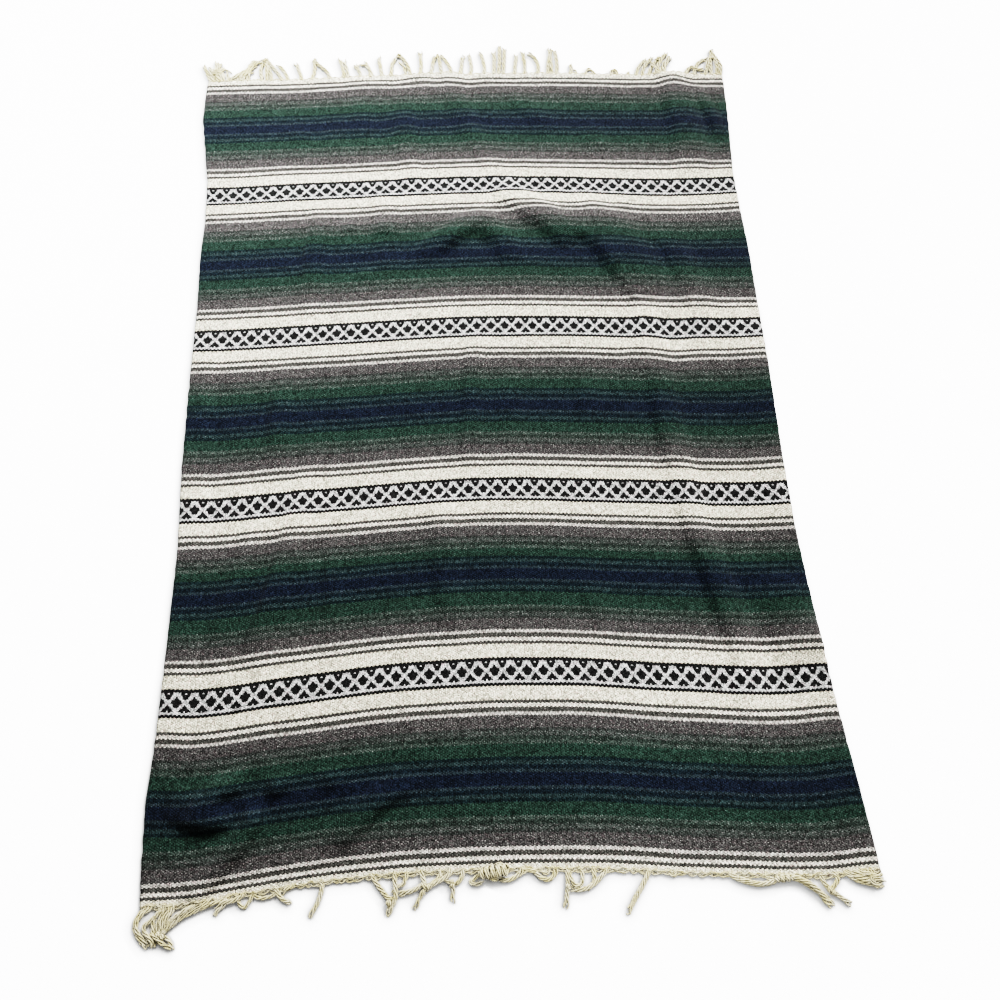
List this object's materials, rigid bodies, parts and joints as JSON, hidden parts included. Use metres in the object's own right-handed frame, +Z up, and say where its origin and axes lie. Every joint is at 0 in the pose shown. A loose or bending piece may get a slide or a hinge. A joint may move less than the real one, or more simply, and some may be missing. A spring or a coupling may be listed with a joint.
{
  "type": "mexican serape blanket",
  "caption": "Hand-loomed falsa serape blanket laid flat, with graded green, navy and grey stripes, small diamond bands and knotted fringe at both ends.",
  "frame": {"origin": "on the floor, under the middle of the whole footprint, fringe included", "axes": "+Z up off the floor; +Y along the blanket's length, from the near fringe to the far fringe; +X across its width"},
  "size_m": [1.3758, 2.005, 0.017],
  "materials": {
    "woven_cloth": "matt loomed acrylic and cotton weft, slightly fuzzy",
    "warp_yarn": "plied cream cotton warp ends, tied and loose"
  },
  "bodies": {
    "root": {"woven_panel": "woven_cloth", "fringe_far": "warp_yarn", "fringe_near": "warp_yarn"}
  },
  "joints": []
}
